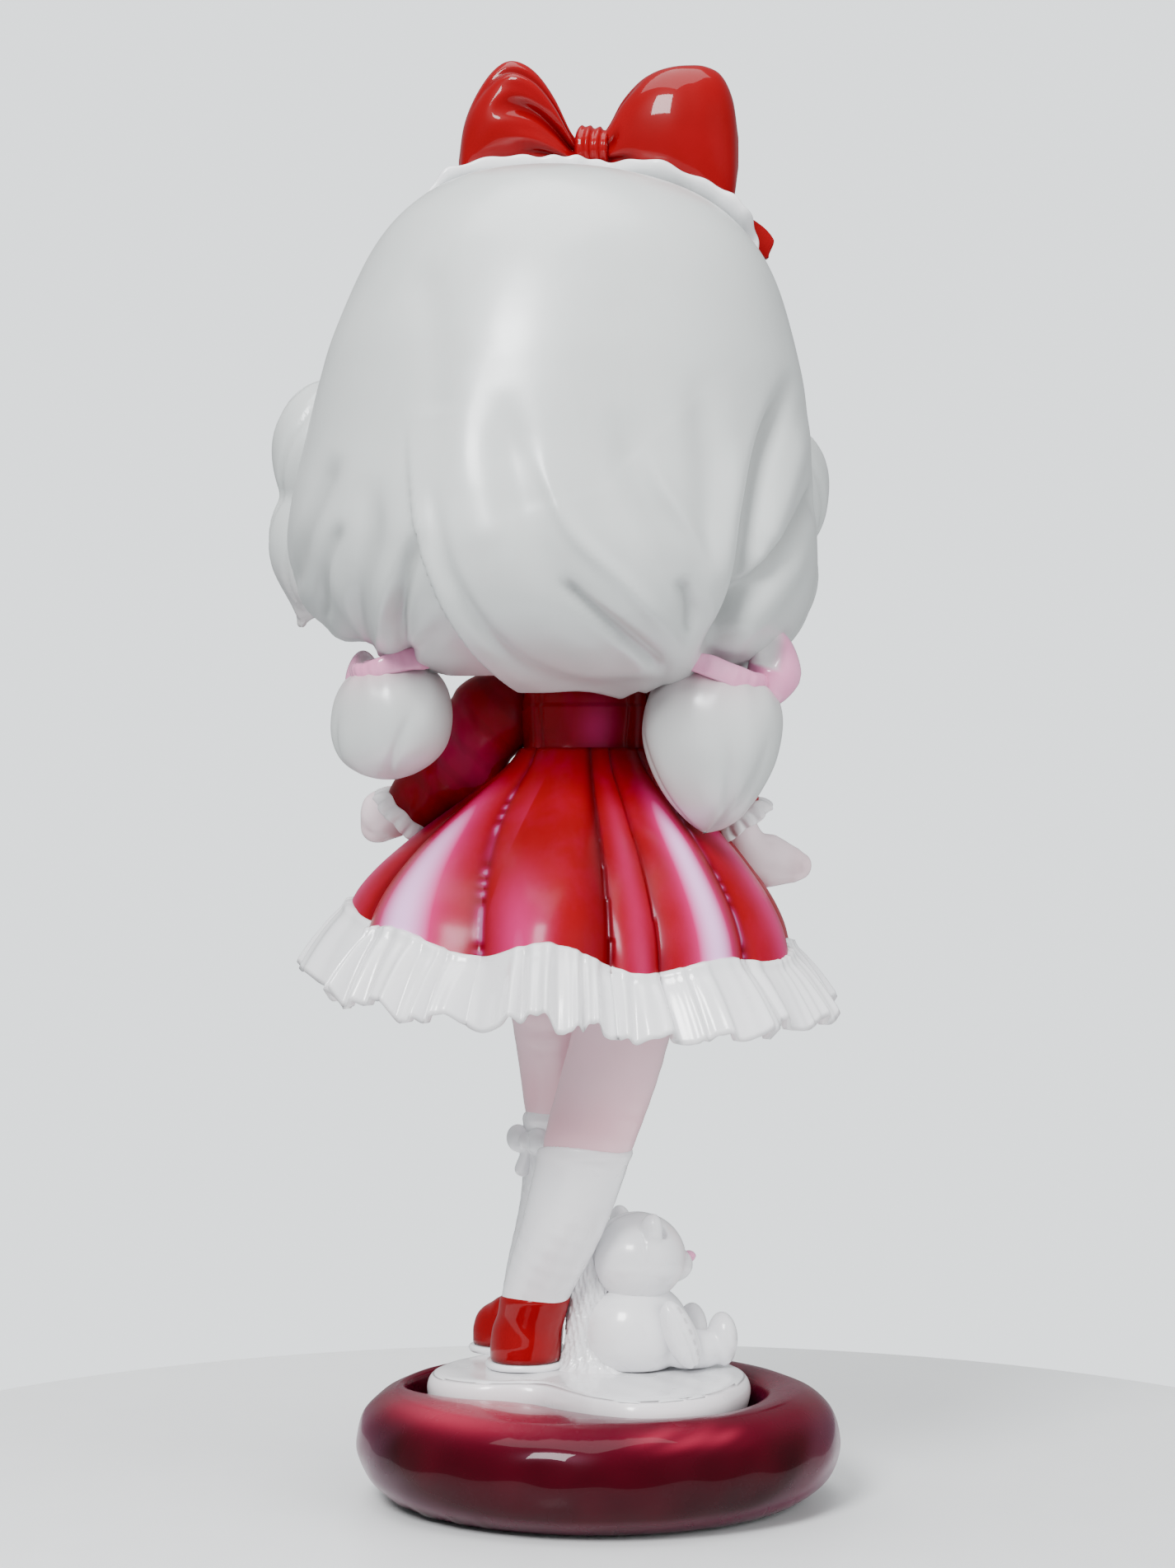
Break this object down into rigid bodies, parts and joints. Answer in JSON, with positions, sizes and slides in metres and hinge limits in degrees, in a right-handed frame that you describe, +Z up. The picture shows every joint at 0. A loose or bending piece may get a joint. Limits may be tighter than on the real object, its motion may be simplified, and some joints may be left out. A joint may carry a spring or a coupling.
{
  "type": "vinyl art toy",
  "caption": "Girl doll with a large hair bow, rounded hair, low bunches, flared frilled dress and crossed legs, standing with a seated toy bear in a round dish base.",
  "frame": {"origin": "centre of the flat foot on the base's underside", "axes": "+Z up, -Y the way the doll faces, +X towards the doll's left hand"},
  "size_m": [0.121, 0.1083, 0.2992],
  "materials": {
    "base_lacquer": "candy-red lacquer over a dark coat, wet gloss",
    "white_gloss": "white paint under clear gloss",
    "sole_white": "white paint under clear gloss",
    "skin": "pale pink paint under satin clear coat",
    "dress_pearl": "crimson pearl paint with a lilac sheen",
    "bow_red": "crimson gloss paint",
    "hair_pearl": "warm grey-white pearl paint under gloss",
    "ribbon_pink": "baby pink gloss paint",
    "eye_brown": "dark brown gloss paint",
    "pin_steel": "bare drawn rod",
    "peg_plastic": "bare moulded plastic"
  },
  "bodies": {
    "base": {"base_ring": "base_lacquer"},
    "figure": {"ankle_pin_left": "pin_steel", "ankle_pin_right": "pin_steel", "bear_arm_left": "white_gloss", "bear_arm_right": "white_gloss", "bear_body": "white_gloss", "bear_ear_left": "white_gloss", "bear_ear_right": "white_gloss", "bear_head": "white_gloss", "bear_leg_left": "white_gloss", "bear_leg_right": "white_gloss", "bear_muzzle": "white_gloss", "bear_nose": "white_gloss", "bodice": "dress_pearl", "collar": "white_gloss", "cuff_left": "white_gloss", "cuff_right": "white_gloss", "hand_left": "skin", "hand_right": "skin", "leg_left": "skin", "leg_right": "skin", "leg_support": "white_gloss", "neck_peg": "skin", "plinth": "white_gloss", "shoe_left": "bow_red", "shoe_right": "bow_red", "shoulder_peg_left": "peg_plastic", "shoulder_peg_right": "peg_plastic", "skirt": "dress_pearl", "skirt_frill": "white_gloss", "skirt_underside": "white_gloss", "sleeve_left": "dress_pearl", "sleeve_right": "dress_pearl", "sock_bow_left": "white_gloss", "sock_left": "white_gloss", "sock_right": "white_gloss", "sole_left": "sole_white", "sole_right": "sole_white"},
    "head": {"bow_knot": "bow_red", "bow_loop_left": "bow_red", "bow_loop_right": "bow_red", "bow_tail": "bow_red", "bunch_left": "hair_pearl", "bunch_right": "hair_pearl", "eye_left": "eye_brown", "eye_right": "eye_brown", "hair_back": "hair_pearl", "hair_fringe": "hair_pearl", "head_shell": "skin", "headband": "white_gloss", "side_lock_left": "hair_pearl", "side_lock_right": "hair_pearl", "tie_bow_left": "ribbon_pink", "tie_bow_right": "ribbon_pink", "tie_left": "ribbon_pink", "tie_right": "ribbon_pink"}
  },
  "joints": [
    {"name": "figure_lift", "type": "slide", "parent": "base", "child": "figure", "axis": [0, 0, 1], "range_m": [0, 0.03]},
    {"name": "head_turn", "type": "hinge", "parent": "figure", "child": "head", "pos_m": [0.0052, 0, 0.1757], "axis": [0, 0, 1], "range_deg": [-8, 8]}
  ]
}
